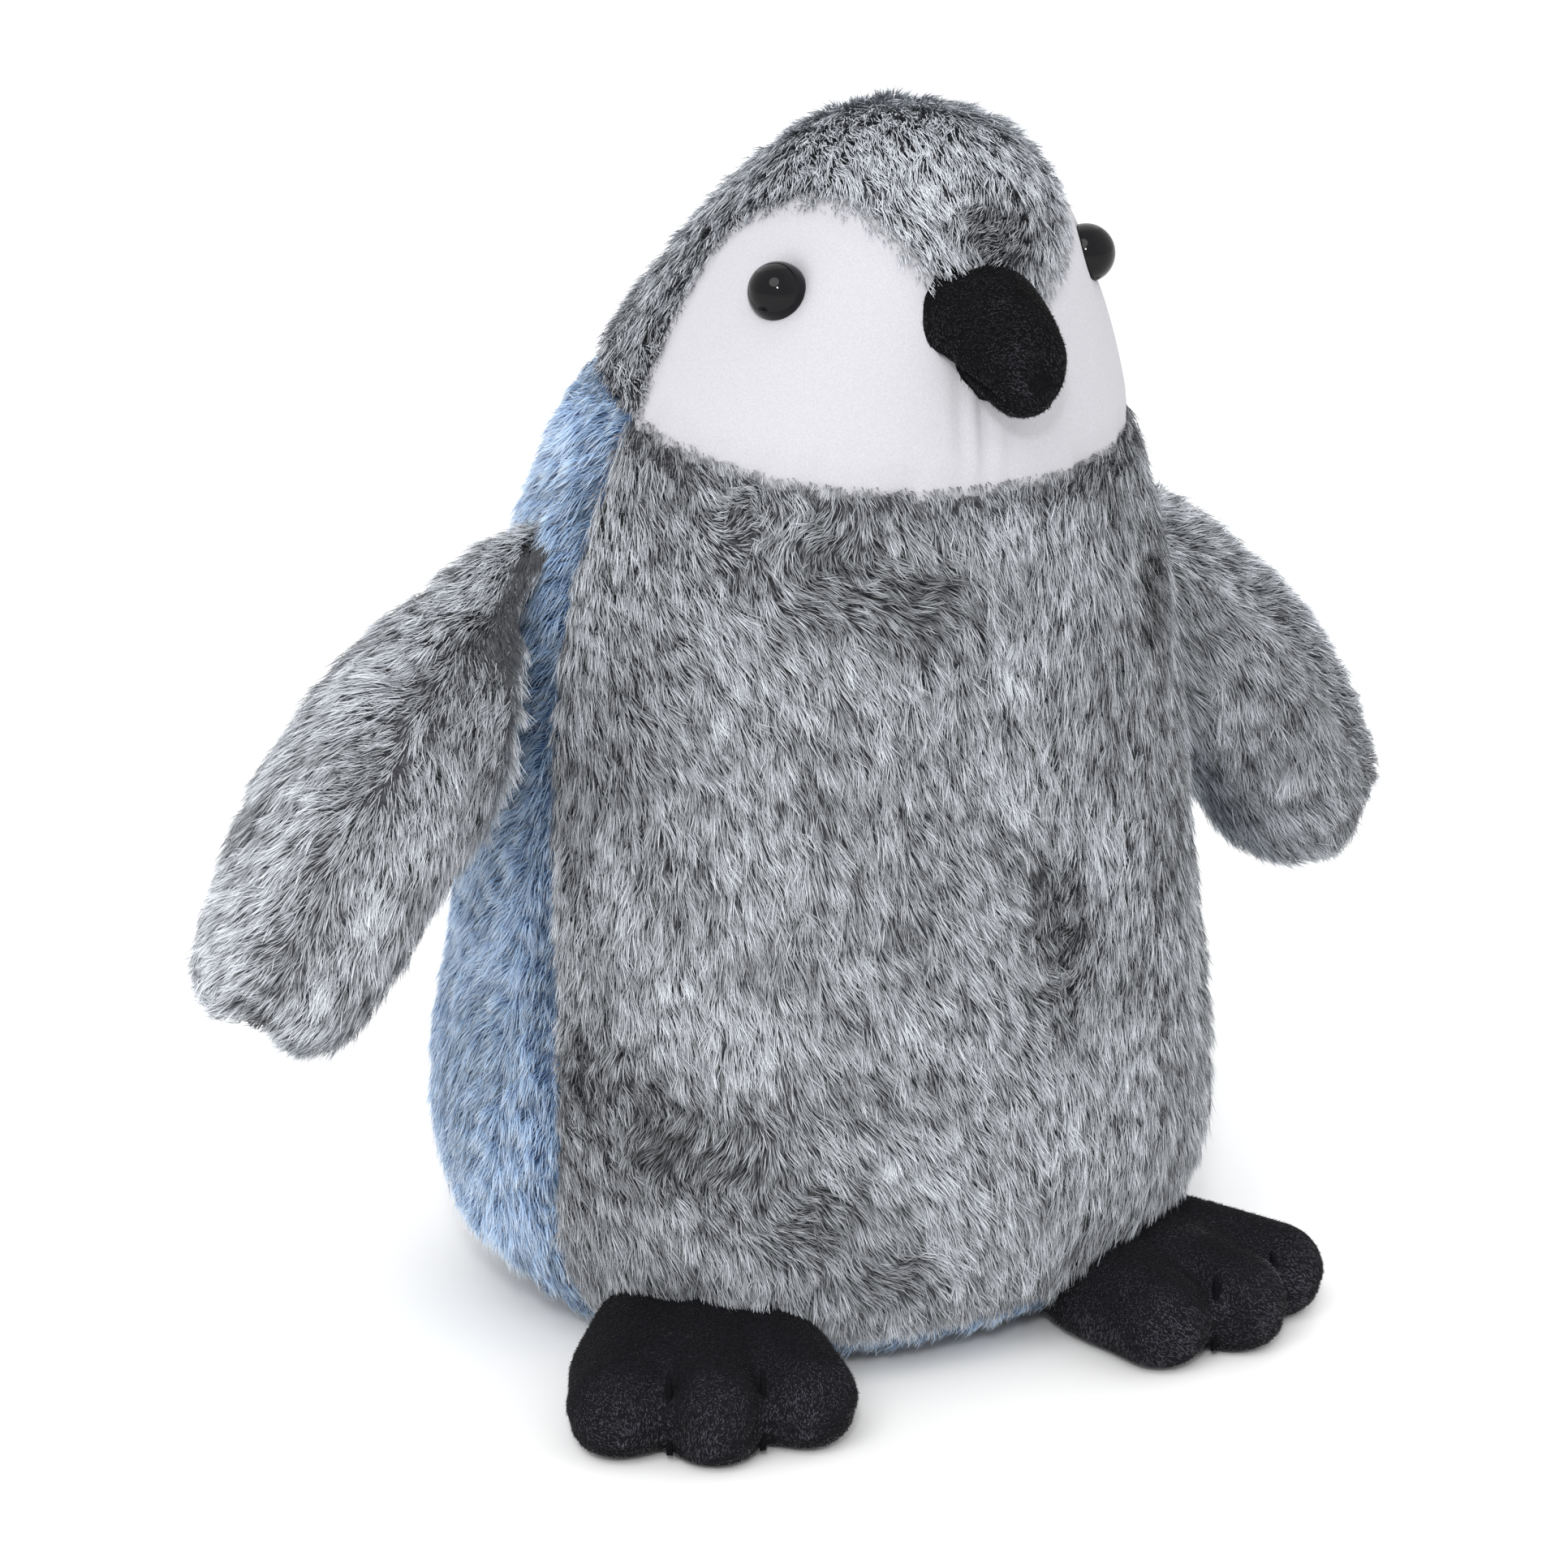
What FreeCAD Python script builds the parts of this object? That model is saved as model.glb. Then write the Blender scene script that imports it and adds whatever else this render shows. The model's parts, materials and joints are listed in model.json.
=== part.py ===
"""Standing plush penguin: fur and velour panels, stuffing, pellets, eyes, two wings and two feet.

Millimetres. +Z is up and the penguin faces -Y. The origin is on the floor, under the body's axis.
"Right" is the penguin's own right, at -X.
"""
import FreeCAD, Part
import math
import os
from FreeCAD import Vector

# ---- body ----
# height, half width, half depth, centre X, centre Y
BODY_ROWS = [
    (0, 60, 54, 0, 0),
    (4, 71, 65, 0, 0),
    (12, 81, 75, 0, 0),
    (24, 87.5, 81, 0, 0),
    (42, 90.5, 84, 0, 0),
    (75, 88, 81, 0, -1),
    (105, 84, 77, 0, -2),
    (135, 80.5, 73, 0, -3),
    (160, 77, 69.5, 0, -4.5),
    (185, 71.5, 65, 0, -6),
    (200, 66, 61.5, 0, -8),
    (215, 60.5, 57.5, 0.5, -11),
    (230, 53, 52, 2, -14.5),
    (245, 44.5, 45, 3.5, -18.5),
    (258, 35, 37, 4, -22),
    (268, 25.5, 28, 4, -24.5),
    (274, 16.5, 19, 3.5, -26),
    (277, 7, 8, 3, -27),
]
TOP_Z = BODY_ROWS[-1][0]
SECTION_POWER = 2.25          # 2 is an ellipse, more is squarer
RING_POINTS = 20
MIN_HALF = 2.0                # smallest half width of an inset section

FUR_SKIN = 7.0                # backing and pile together
VELOUR_STEP = 2.0             # the velour lies this far below the fur's tips
FILL_GAP = 0.3                # filling to cloth

# ---- seams ----
NECK_SEAM_Z = 215.5           # at Y = 0
NECK_SEAM_RISE = 0.225        # Z per unit of Y
BASE_SEAM_Z = 10.0
# side seam between the front panel and the back panels: (Y, Z)
SIDE_SEAM = [(-15, -20), (-18, 12), (-20, 45), (-15, 90), (-7, 132), (-5, 165), (-8, 205), (-10, 240)]
# edge of the cheeks, seen from the side: (Y, Z)
CHEEK_EDGE = [(-11, 190), (-10.5, 221), (-8, 240), (-12, 252), (-22, 258), (-35, 260.5), (-47, 258),
              (-56, 251.5), (-62, 242)]
CHEEK_FRONT = [(-66, 236), (-100, 232), (-100, 190)]

# ---- eyes ----
EYE_RADIUS = 6.5
# side: angle from the front, round the head, and height
EYES = {"right": (-66.5, 242.0), "left": (50.0, 243.5)}
EYE_SINK = 1.5                # how far the dome's centre lies under the velour
STEM_RADIUS = 2.0
STEM_LENGTH = 15.0
STEM_RIBS = 4
RIB_HEIGHT = 0.4
WASHER_RADIUS = 8.0
WASHER_THICK = 1.5
WASHER_DEPTH = 7.0            # behind the dome's back

# ---- beak ----
# Y, half width, half height, centre Z
BEAK_ROWS = [
    (-50, 17.5, 16.5, 230),
    (-64, 17, 16, 230),
    (-71, 14.5, 14.5, 230),
    (-77, 11, 12.5, 229),
    (-82, 6.5, 9, 227),
    (-84, 2.5, 4.5, 225.5),
]
BEAK_SEAM_Z = 224.5
BEAK_CLOTH = 1.6

# ---- wings, given for the right one ----
WING_ROWS = [
    # centre X, Y, Z, half chord, half thickness
    (-66, 6, 160, 24, 21),
    (-82, 5, 157, 25, 23),
    (-102, 2, 147, 27, 25),
    (-124, -4, 130, 27, 25.5),
    (-141, -8, 109, 25, 23),
    (-149, -9, 96, 21, 19),
    (-153, -9, 89.5, 12, 10.5),
]
WING_CHORD = Vector(-0.35, -0.83, 0.42)   # from the middle to the leading edge
WING_SKIN = 6.0
WING_PIVOT = Vector(-78, 3, 168)
WING_LIFT = 55.0              # upwards from rest
WING_DROP = 15.0              # downwards from rest
LEFT_WING_DROOP = 8.0        # the left wing hangs this much lower than the right one

# ---- feet ----
FEET = {
    # side: rear seam's middle X and Y, turn about Z
    "right": (-64, -42, -28.0),
    "left": (40, -56, 10.0),
}
# distance forward of the rear seam, half width, half height, centre Z
FOOT_ROWS = [
    (0, 22, 1.2, 9),
    (6, 26, 7, 11),
    (16, 28.5, 12.5, 13.5),
    (28, 29, 12.5, 13),
    (38, 26, 11, 11.5),
    (44, 21, 7, 10),
]
TOES = [
    # sideways, forward end, radius
    (-19.5, 49, 10.5),
    (0, 54, 11.5),
    (19.5, 49, 10.5),
]
TOE_BACK = 22.0               # how far back a toe runs into the foot
TOE_Z = 10.8
FOOT_SEAM_Z = 9.6
FOOT_CLOTH = 2.0
FOOT_PIVOT_FORWARD = 4.0
FOOT_PIVOT_Z = 9.0
FOOT_LIFT = 30.0
STITCH_SIDEWAYS = 10.0
STITCH_FORWARD = 42.0
THREAD_RADIUS = 0.7

# ---- pellets and closing seam ----
BAG_TOP_Z = 48.0
BAG_INSET = 9.0
BAG_CLOTH = 1.0
CLOSING_Z = (64.0, 124.0)
CLOSING_STITCHES = 9
STITCH_WIDTH = 6.0
STITCH_RADIUS = 0.5

CLEARANCE = 0.6               # between a moving piece and the body
FAR = 200.0                   # reaches past the whole penguin


def closed_curve(points):
    """A smooth closed wire through the points."""
    curve = Part.BSplineCurve()
    curve.interpolate(Points=points, PeriodicFlag=True)
    return Part.Wire([curve.toShape()])


def section_point(centre, across, along, half_a, half_b, angle, power):
    """A point of a superellipse section; angle 0 lies on 'along'."""
    s = math.sin(angle)
    c = math.cos(angle)
    size = (abs(s) ** power + abs(c) ** power) ** (-1.0 / power)
    return centre + across * (half_a * s * size) + along * (half_b * c * size)


def section(centre, across, along, half_a, half_b, power=2.0):
    """A closed superellipse section."""
    turn = 2 * math.pi / RING_POINTS
    points = [section_point(centre, across, along, half_a, half_b, turn * i, power)
              for i in range(RING_POINTS)]
    return closed_curve(points)


def body_solid(inset=0.0):
    """The body and head together, shrunk by the inset all round."""
    wires = []
    for z, half_width, half_depth, centre_x, centre_y in BODY_ROWS:
        height = inset + z * (TOP_Z - 2 * inset) / TOP_Z
        wires.append(section(Vector(centre_x, centre_y, height), Vector(1, 0, 0), Vector(0, -1, 0),
                             max(half_width - inset, MIN_HALF), max(half_depth - inset, MIN_HALF),
                             SECTION_POWER))
    return Part.makeLoft(wires, True)


def body_point(angle_deg, z):
    """A point of the body's surface; the angle is measured from the front towards +X."""
    for low, high in zip(BODY_ROWS, BODY_ROWS[1:]):
        if low[0] <= z <= high[0]:
            part = (z - low[0]) / (high[0] - low[0])
            row = [a + (b - a) * part for a, b in zip(low[1:], high[1:])]
            return section_point(Vector(row[2], row[3], z), Vector(1, 0, 0), Vector(0, -1, 0),
                                 row[0], row[1], math.radians(angle_deg), SECTION_POWER)


def body_normal(angle_deg, z):
    """The outward direction at that point."""
    round_the_body = body_point(angle_deg + 1, z) - body_point(angle_deg - 1, z)
    upwards = body_point(angle_deg, z + 2) - body_point(angle_deg, z - 2)
    normal = round_the_body.cross(upwards)
    return normal.normalize()


def block(x0, x1, y0, y1, z0, z1):
    return Part.makeBox(x1 - x0, y1 - y0, z1 - z0, Vector(x0, y0, z0))


def side_profile(curve_points, corner_points):
    """A solid right across the body, whose (Y, Z) outline is a curve closed by straight runs."""
    curve = Part.BSplineCurve()
    curve.interpolate(Points=[Vector(-FAR, y, z) for y, z in curve_points])
    corners = [curve.EndPoint] + [Vector(-FAR, y, z) for y, z in corner_points] + [curve.StartPoint]
    lines = [Part.makeLine(a, b) for a, b in zip(corners, corners[1:])]
    face = Part.Face(Part.Wire([curve.toShape()] + lines))
    return face.extrude(Vector(2 * FAR, 0, 0))


def head_region():
    """Everything above the tilted neck seam."""
    low = NECK_SEAM_Z - NECK_SEAM_RISE * FAR
    high = NECK_SEAM_Z + NECK_SEAM_RISE * FAR
    corners = [Vector(-FAR, -FAR, low), Vector(-FAR, FAR, high),
               Vector(-FAR, FAR, 2 * FAR), Vector(-FAR, -FAR, 2 * FAR)]
    face = Part.Face(Part.makePolygon(corners + corners[:1]))
    return face.extrude(Vector(2 * FAR, 0, 0))


def front_region():
    """Everything ahead of the side seams."""
    return side_profile(SIDE_SEAM, [(-FAR, SIDE_SEAM[-1][1]), (-FAR, SIDE_SEAM[0][1])])


def cheek_region():
    """The white face, seen from the side."""
    return side_profile(CHEEK_EDGE, CHEEK_FRONT)


def right_half():
    return block(-FAR, 0, -FAR, FAR, -FAR, 2 * FAR)


def make_panels(eyes):
    """The cloth of body and head."""
    outer = body_solid()
    lining = body_solid(FUR_SKIN)
    skin = outer.cut(lining)
    head = head_region()
    cheeks_zone = cheek_region()
    base_zone = block(-FAR, FAR, -FAR, FAR, -1, BASE_SEAM_Z)

    head_skin = skin.common(head)
    body_skin = skin.cut(head).cut(base_zone)
    front = body_skin.common(front_region())
    back = body_skin.cut(front_region())
    velour = body_solid(VELOUR_STEP).cut(lining).common(head).common(cheeks_zone)
    for eye in eyes:
        velour = velour.cut(eye)
    stitches = closing_stitches()
    back = back.cut(stitches)
    return {
        "front_panel": front,
        "back_panel_right": back.common(right_half()),
        "back_panel_left": back.cut(right_half()),
        "base_panel": skin.common(base_zone),
        "crown_panel": head_skin.cut(cheeks_zone),
        "cheek_right": velour.common(right_half()),
        "cheek_left": velour.cut(right_half()),
        "closing_stitches": stitches,
    }


def closing_stitches():
    """The row of short threads that closes the back seam after filling."""
    low, high = CLOSING_Z
    bars = []
    for i in range(CLOSING_STITCHES):
        z = low + (high - low) * i / (CLOSING_STITCHES - 1)
        back_y = body_point(180, z).y - FUR_SKIN / 2
        bars.append(Part.makeCylinder(STITCH_RADIUS, STITCH_WIDTH,
                                      Vector(-STITCH_WIDTH / 2, back_y, z), Vector(1, 0, 0)))
    return Part.Compound(bars)


def make_eye(side):
    """A black dome on a ribbed stem, and the washer that locks it."""
    normal = body_normal(*EYES[side])
    centre = body_point(*EYES[side]) - normal * (VELOUR_STEP + EYE_SINK)
    dome = Part.makeSphere(EYE_RADIUS, centre, normal)
    back = centre - normal * (EYE_SINK + 1)
    behind = Part.makeCylinder(3 * EYE_RADIUS, 3 * EYE_RADIUS, back, -normal)
    eye = dome.cut(behind).fuse(Part.makeCylinder(STEM_RADIUS, STEM_LENGTH, back, -normal))
    pitch = STEM_LENGTH / (STEM_RIBS + 1)
    for i in range(STEM_RIBS):
        start = back - normal * (pitch * (i + 1))
        eye = eye.fuse(Part.makeCylinder(STEM_RADIUS + RIB_HEIGHT, pitch / 3, start, -normal))
    washer_start = back - normal * WASHER_DEPTH
    washer = Part.makeCylinder(WASHER_RADIUS, WASHER_THICK, washer_start, -normal)
    washer = washer.cut(eye)
    return eye.removeSplitter(), washer


def beak_solid(inset=0.0):
    wires = []
    for y, half_width, half_height, z in BEAK_ROWS:
        wires.append(section(Vector(0, y + inset, z), Vector(1, 0, 0), Vector(0, 0, 1),
                             max(half_width - inset, 0.8), max(half_height - inset, 0.8)))
    return Part.makeLoft(wires, True)


def make_beak(crown):
    """The beak's two cloths and its filling, standing on the face."""
    face = body_solid(VELOUR_STEP)
    whole = beak_solid().cut(face).cut(crown)
    filling = beak_solid(BEAK_CLOTH).cut(body_solid(VELOUR_STEP - FILL_GAP)).cut(crown)
    shell = whole.cut(filling)
    upper = block(-FAR, FAR, -FAR, FAR, BEAK_SEAM_Z, 2 * FAR)
    return {
        "beak_top": shell.common(upper),
        "beak_under": shell.cut(upper),
        "beak_filling": filling,
    }


def wing_line():
    """The wing's centre line."""
    curve = Part.BSplineCurve()
    curve.interpolate(Points=[Vector(*row[:3]) for row in WING_ROWS])
    return curve


def wing_solid(inset=0.0):
    """The right wing, shrunk by the inset."""
    line = wing_line()
    wires = []
    for x, y, z, half_chord, half_thick in WING_ROWS:
        centre = Vector(x, y, z)
        along = Vector(*line.tangent(line.parameter(centre))[0])
        chord = (WING_CHORD - along * WING_CHORD.dot(along)).normalize()
        thick = along.cross(chord).normalize()
        shift = along * (-inset * half_thick / WING_ROWS[2][4] if x < WING_ROWS[3][0] else 0.0)
        wires.append(section(centre + shift, chord, thick,
                             max(half_chord - inset, 1.0), max(half_thick - inset, 1.0)))
    return Part.makeLoft(wires, True)


def wing_upper_side():
    """The side of the wing's seam that faces out and up."""
    edge = wing_line().toShape()
    chord = Vector(WING_CHORD).normalize()
    first = Vector(*WING_ROWS[0][:3])
    last = Vector(*WING_ROWS[-1][:3])
    before = first + (first - Vector(*WING_ROWS[1][:3])) * 4
    after = last + (last - Vector(*WING_ROWS[-2][:3])) * 6
    path = Part.Wire([Part.makeLine(before, first), edge, Part.makeLine(last, after)])
    path.translate(chord * -FAR / 2)
    sheet = path.extrude(chord * FAR)
    outward = Vector(-1, 0.6, 1).normalize()
    return [face.extrude(outward * FAR) for face in sheet.Faces]


def clear_of_body(shape, pivot, axis, angles):
    """Cut away what would reach the body at any of the angles."""
    obstacle = body_solid(-CLEARANCE)
    for angle in angles:
        moved = obstacle.copy()
        moved.rotate(pivot, axis, -angle)
        shape = shape.cut(moved)
    return shape


def make_wing():
    """The right wing's outer and inner cloths and its filling."""
    axis = Vector(0, 1, 0)
    angles = (0, -WING_DROP, -WING_DROP / 2, WING_LIFT / 4, WING_LIFT / 2, WING_LIFT * 3 / 4, WING_LIFT)
    whole = clear_of_body(wing_solid(), WING_PIVOT, axis, angles)
    filling = wing_solid(WING_SKIN).common(whole)
    shell = whole.cut(filling)
    upper_side = wing_upper_side()
    upper = upper_side[0].fuse(upper_side[1:])
    return shell.common(upper), shell.cut(upper), filling


def foot_solid(inset=0.0):
    """A foot about its own rear seam, pointing along -Y, shrunk by the inset."""
    wires = []
    for forward, half_width, half_height, z in FOOT_ROWS:
        wires.append(section(Vector(0, -forward, z), Vector(1, 0, 0), Vector(0, 0, 1),
                             max(half_width - inset, 1.0), max(half_height - inset, 0.3), 2.6))
    shape = Part.makeLoft(wires, True)
    for sideways, forward, radius in TOES:
        end = Vector(sideways, radius - forward, TOE_Z)
        shape = shape.fuse(Part.makeSphere(radius - inset, end))
        shape = shape.fuse(Part.makeCylinder(radius - inset, TOE_BACK, end, Vector(0, 1, 0)))
    return shape


def toe_stitches():
    """The two threads that pull the toes apart, straight through the foot."""
    bars = [Part.makeCylinder(THREAD_RADIUS, 2 * TOE_Z - 2, Vector(side * STITCH_SIDEWAYS, -STITCH_FORWARD, 1))
            for side in (-1, 1)]
    return Part.Compound(bars)


def make_foot(side):
    """One foot's top cloth, sole, filling and toe stitches, in place."""
    x, y, turn = FEET[side]
    direction = math.radians(turn)
    forward = Vector(math.sin(direction), -math.cos(direction), 0)
    pivot = Vector(x, y, FOOT_PIVOT_Z) + forward * FOOT_PIVOT_FORWARD
    axis = Vector(-math.cos(direction), -math.sin(direction), 0)
    placed = []
    for shape in (foot_solid(), foot_solid(FOOT_CLOTH), toe_stitches()):
        shape.rotate(Vector(0, 0, 0), Vector(0, 0, 1), turn)
        shape.translate(Vector(x, y, 0))
        placed.append(shape)
    whole, filling, stitches = placed
    whole = whole.common(block(-FAR, FAR, -FAR, FAR, 0, FAR))
    whole = clear_of_body(whole, pivot, axis, (0, FOOT_LIFT))
    filling = filling.common(whole).cut(stitches)
    stitches = stitches.common(whole)
    shell = whole.cut(filling).cut(stitches)
    upper = block(-FAR, FAR, -FAR, FAR, FOOT_SEAM_Z, FAR)
    return {
        "foot_%s_top" % side: shell.common(upper),
        "foot_%s_sole" % side: shell.cut(upper),
        "foot_filling_%s" % side: filling,
        "toe_stitches_%s" % side: stitches,
    }


def make_fillings(eyes, washers):
    """Fibre above, and a bag of pellets in the base."""
    gap = FUR_SKIN + FILL_GAP
    bag_zone = block(-FAR, FAR, -FAR, FAR, 0, BAG_TOP_Z)
    bag_room = block(-FAR, FAR, -FAR, FAR, 0, BAG_TOP_Z + FILL_GAP)
    pellet_zone = block(-FAR, FAR, -FAR, FAR, 0, BAG_TOP_Z - BAG_CLOTH)
    bag = body_solid(BAG_INSET).common(bag_zone)
    pellets = body_solid(BAG_INSET + BAG_CLOTH).common(pellet_zone)
    fibre = body_solid(gap).cut(bag_room)
    for solid in eyes + washers:
        fibre = fibre.cut(solid)
    return {
        "fibre_filling": fibre,
        "pellet_bag": bag.cut(pellets),
        "pellet_fill": pellets,
    }


def main():
    parts = {}
    eye_right, washer_right = make_eye("right")
    eye_left, washer_left = make_eye("left")
    parts.update(make_panels([eye_right, eye_left]))
    parts.update(make_beak(parts["crown_panel"]))
    parts.update(make_fillings([eye_right, eye_left], [washer_right, washer_left]))
    parts["eye_right"] = eye_right
    parts["eye_left"] = eye_left
    parts["eye_washer_right"] = washer_right
    parts["eye_washer_left"] = washer_left

    left_pivot = Vector(-WING_PIVOT.x, WING_PIVOT.y, WING_PIVOT.z)
    for name, shape in zip(("wing_%s_outer", "wing_%s_inner", "wing_filling_%s"), make_wing()):
        parts[name % "right"] = shape
        left = shape.mirror(Vector(0, 0, 0), Vector(1, 0, 0))
        left.rotate(left_pivot, Vector(0, 1, 0), LEFT_WING_DROOP)
        parts[name % "left"] = left
    for side in FEET:
        parts.update(make_foot(side))

    os.makedirs("parts", exist_ok=True)
    for name, shape in sorted(parts.items()):
        shape.exportStep("parts/%s.step" % name)
        box = shape.optimalBoundingBox()
        print("%-20s solids %d  valid %s  %8.0f mm3  x %.1f..%.1f  y %.1f..%.1f  z %.1f..%.1f" % (
            name, len(shape.Solids), shape.isValid(), shape.Volume,
            box.XMin, box.XMax, box.YMin, box.YMax, box.ZMin, box.ZMax))


main()
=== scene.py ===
"""Looks of the standing plush penguin: fur, velour, short black plush and glossy eyes.

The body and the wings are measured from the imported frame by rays. The beak and the feet are
shaped near their CAD boxes. All but the white cheeks are then dressed with strands of pile.
Lengths in millimetres are turned to metres by MM.
"""
import json
import math

import bpy
import numpy as np
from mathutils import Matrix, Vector
from mathutils.bvhtree import BVHTree
from mathutils.kdtree import KDTree


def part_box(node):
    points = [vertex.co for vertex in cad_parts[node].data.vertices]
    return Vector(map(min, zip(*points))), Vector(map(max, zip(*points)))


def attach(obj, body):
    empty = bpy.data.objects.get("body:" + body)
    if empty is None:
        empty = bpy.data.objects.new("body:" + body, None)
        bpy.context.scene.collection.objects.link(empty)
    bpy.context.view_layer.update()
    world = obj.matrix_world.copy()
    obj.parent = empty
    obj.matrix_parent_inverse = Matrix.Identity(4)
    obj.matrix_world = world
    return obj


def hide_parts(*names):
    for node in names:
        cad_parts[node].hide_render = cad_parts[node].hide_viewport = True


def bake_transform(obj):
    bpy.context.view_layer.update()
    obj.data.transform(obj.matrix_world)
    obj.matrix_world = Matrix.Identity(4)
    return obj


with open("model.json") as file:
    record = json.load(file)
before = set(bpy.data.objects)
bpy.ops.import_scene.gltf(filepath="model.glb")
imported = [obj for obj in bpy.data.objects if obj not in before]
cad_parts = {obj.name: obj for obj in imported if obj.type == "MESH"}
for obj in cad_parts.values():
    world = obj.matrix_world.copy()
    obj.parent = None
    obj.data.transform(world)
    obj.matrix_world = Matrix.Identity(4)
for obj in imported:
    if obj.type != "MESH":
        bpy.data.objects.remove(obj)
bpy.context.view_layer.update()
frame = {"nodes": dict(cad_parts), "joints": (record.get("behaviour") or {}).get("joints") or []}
NODES = frame["nodes"]
JOINTS = {joint["name"]: joint for joint in frame["joints"]}
MM = 0.001
RNG = np.random.default_rng(7)

# ---- pile, in millimetres ----
FUR_DEPTH = 6.0               # the strands' roots, below the fur's outer surface
SKIN_DEPTH = 4.2              # the backing seen between the strands
FUR_LENGTH = 9.0
FUR_WIDTH = 0.28
FUR_PER_MM2 = 2.8
PLUSH_LENGTH = 1.3
PLUSH_WIDTH = 0.2
PLUSH_PER_MM2 = 3.2
STRANDS_PER_PIECE = 60000

# ---- body, in millimetres ----
BASE_CENTRE_Z = 40.0          # the rays for the base start here
HEAD_CENTRE_Y = -14.0         # the rays for the head start here
HEAD_CENTRE_DROP = 48.0       # and this far below the crown's top
VELOUR_STEP = 2.0             # the velour lies this far below the level of the fur's tips
EYE_HOLE = 9.0                # round an eye's stem the velour's surface is filled in
EYE_DEPTH = 6.5               # the eye's middle, behind its foremost point
FLOOR_GAP = 0.4               # the backing's lowest point
BARE_BELOW = 3.0              # no pile below this height, where the toy stands on it
VELOUR_GROW = 7               # grid steps that the velour's depth is worked out beyond its seam
SEAM_DIP = 1.0                # how far the velour is sewn down at its seam
SINK = 3.0                    # how much deeper it lies under the fur
CROWN_COMB = [-0.10, -0.62, -0.78]
BROW_SHADE_PLACE = [0, -10, 9]      # painted shade above the beak, placed from the top of the beak's back
BROW_SHADE_RADIUS = 27.0

# ---- wings, in millimetres ----
WING_COLUMNS = 72
WING_RINGS = 40
WING_ROOT_TRIM = 15.0         # the first ring, from the root's end
WING_TIP_RADIUS = 17.0        # the last ring before the rounded tip, from the tip's end
WING_SLAB = 4.0               # half thickness of the slice that a ring's middle is taken from
# depth into the body, step back along the wing and share of the width of the rings inside the body
WING_INWARD = ((18, 14, 0.72), (11, 13, 0.85), (5, 11, 0.94), (0, 6, 0.98))
ROOT_REACH = 75.0             # the front edge is drawn back this far along the wing
ROOT_PULL_BACK = 0.42         # share of the front half's width it is drawn back by
INNERMOST_PULL_BACK = 0.4     # and as much again on the innermost rings
ROOT_TUCK = 0.45              # how far the backing is drawn in at the root
VALLEY_DEPTH = 3.2            # the seam between the wing's two panels
VALLEY_WIDTH = 6.5
WING_SLIMMING = 0.04          # each ring is drawn in to its middle by this share
WING_PILE = 9.5
# seam reach, share of height left at the seam, and painted seam shade there
WING_PULL = (9.0, 0.6, 0.34)
WING_TONE_LIGHT_SHADE = {"right": (0.32, 0.24), "left": (0.32, -0.02)}    # outer and inner panel; the inner panel is paler on the right wing by painted light and darker on the left by painted shade

# ---- beak, in millimetres ----
BEAK_GRID = (64, 96)
BEAK_SIDE_STEP = 2.0          # toward the toy's right, from the middle of the CAD beak
BEAK_TIP_BACK = 3.5           # the tip, behind the CAD beak's foremost point
MOUTH_LOW = 4.5               # the mouth line's height at the tip
MOUTH_SLOPE = 0.5
MOUTH_STEP = 2.0              # the lower half lies this far in
MOUTH_GROOVE = 2.4
BEAK_FOLD = 1.2
# distance behind the beak's tip, half width, top and bottom above the beak's lowest point
BEAK_ROWS = [(38, 17.0, 31.5, 1.0), (30, 17.5, 32.5, 0.4), (23, 16.4, 32.5, 0.6), (17, 14.2, 31.5, 1.0),
             (11, 12.0, 29.0, 1.2), (6, 10.4, 25.5, 1.2), (2.5, 9.2, 21.5, 2.0), (0.6, 7.0, 17.0, 4.2),
             (0, 3.4, 12.5, 7.0)]

# ---- feet, in millimetres ----
FOOT_LENGTH = 57.0            # from the foot's own origin to the CAD foot's front
FOOT_FLOOR = 0.5
FOOT_MIDDLE = [0.0, 20.0, 10.0]
TOES = ((-20.5, 48.5, 10.9), (0.0, 54.5, 11.4), (20.5, 48.5, 10.9))    # sideways, tip, radius
TOE_BLEND = 1.5
TOE_CREASE = 0.9
TOE_DIMPLE = 1.6
SOLE_RIM = 0.5

# ---- studio ----
WORLD_STRENGTH = 0.93
FLOOR_REACH = 40.0            # metres
# name, where the light comes from, spread in degrees and strength
SUNS = (("key", (-1.0, -0.7, 1.35), 35.0, 1.1),
        ("fill", (1.0, -1.0, 0.9), 70.0, 0.12),
        ("back", (0.6, 1.2, 1.2), 60.0, 0.35))
CAMERA_AIM = (-4.6, 8.8, 115.0)    # millimetres
CAMERA_AZIMUTH = -35.0
CAMERA_ELEVATION = 17.0
CAMERA_DISTANCE = 1.053            # metres

FUR_PANELS = ["front_panel", "crown_panel", "back_panel_right", "back_panel_left", "base_panel"]
CHEEKS = ["cheek_right", "cheek_left"]


# ------------------------------------------------------------------ geometry helpers

def unit(v):
    """Vectors scaled to length one."""
    return v / np.maximum(np.linalg.norm(v, axis=-1, keepdims=True), 1e-12)


def smooth(t):
    """A soft step from 0 to 1."""
    t = np.clip(t, 0.0, 1.0)
    return t * t * (3.0 - 2.0 * t)


def node_arrays(names):
    """Vertices and triangles of some CAD nodes, and the name's index for each triangle."""
    verts, tris, owner = [], [], []
    base = 0
    for index, name in enumerate(names):
        mesh = NODES[name].data
        mesh.calc_loop_triangles()
        co = np.empty(len(mesh.vertices) * 3, np.float32)
        mesh.vertices.foreach_get("co", co)
        tri = np.empty(len(mesh.loop_triangles) * 3, np.int32)
        mesh.loop_triangles.foreach_get("vertices", tri)
        verts.append(co.reshape(-1, 3))
        tris.append(tri.reshape(-1, 3) + base)
        owner.append(np.full(len(tris[-1]), index))
        base += len(verts[-1])
    return np.concatenate(verts), np.concatenate(tris), np.concatenate(owner)


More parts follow.
